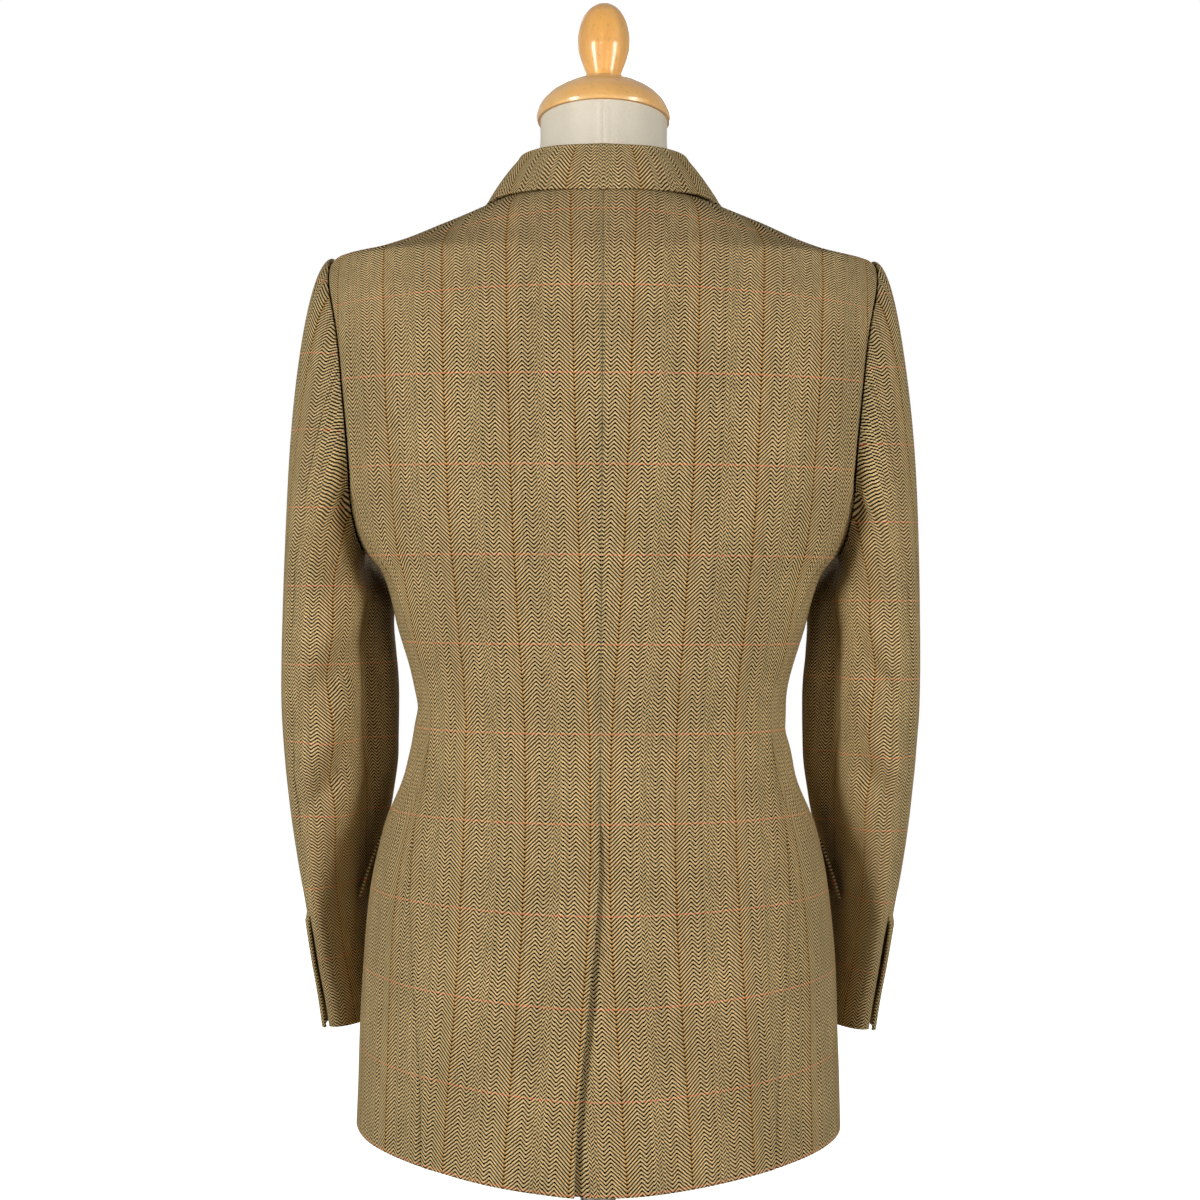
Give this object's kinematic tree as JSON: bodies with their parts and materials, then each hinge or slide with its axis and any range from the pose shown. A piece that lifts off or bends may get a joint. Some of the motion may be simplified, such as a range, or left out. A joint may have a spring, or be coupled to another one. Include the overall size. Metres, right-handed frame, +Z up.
{
  "type": "tweed jacket on a dress form",
  "caption": "Herringbone tweed jacket with a windowpane check, notch lapels, a centre back vent and hip pocket flaps, shown on a limbless dress form with a turned wooden neck cap.",
  "frame": {"origin": "centre of the underside of the stand's round base, on the floor", "axes": "+Z up, +X towards the wearer's right, +Y towards the jacket's front, so the back faces -Y"},
  "size_m": [0.495, 0.3, 1.0383],
  "materials": {
    "tweed": "brown and fawn herringbone wool tweed with a fine ochre and red windowpane",
    "horn": "dark brown polished horn",
    "linen": "cream cotton cover",
    "beech": "turned and varnished beech",
    "steel": "plain steel tube",
    "iron": "grey painted"
  },
  "bodies": {
    "root": {"back_left": "tweed", "back_right": "tweed", "side_left": "tweed", "side_right": "tweed", "front_left": "tweed", "front_right": "tweed", "lapel_left": "tweed", "lapel_right": "tweed", "top_sleeve_left": "tweed", "top_sleeve_right": "tweed", "under_sleeve_left": "tweed", "under_sleeve_right": "tweed", "flap_left": "tweed", "flap_right": "tweed", "collar": "tweed", "button_1": "horn", "button_2": "horn", "form_body": "linen", "neck_cap": "beech", "finial": "beech", "stand_pole": "steel", "stand_base": "iron"}
  },
  "joints": []
}
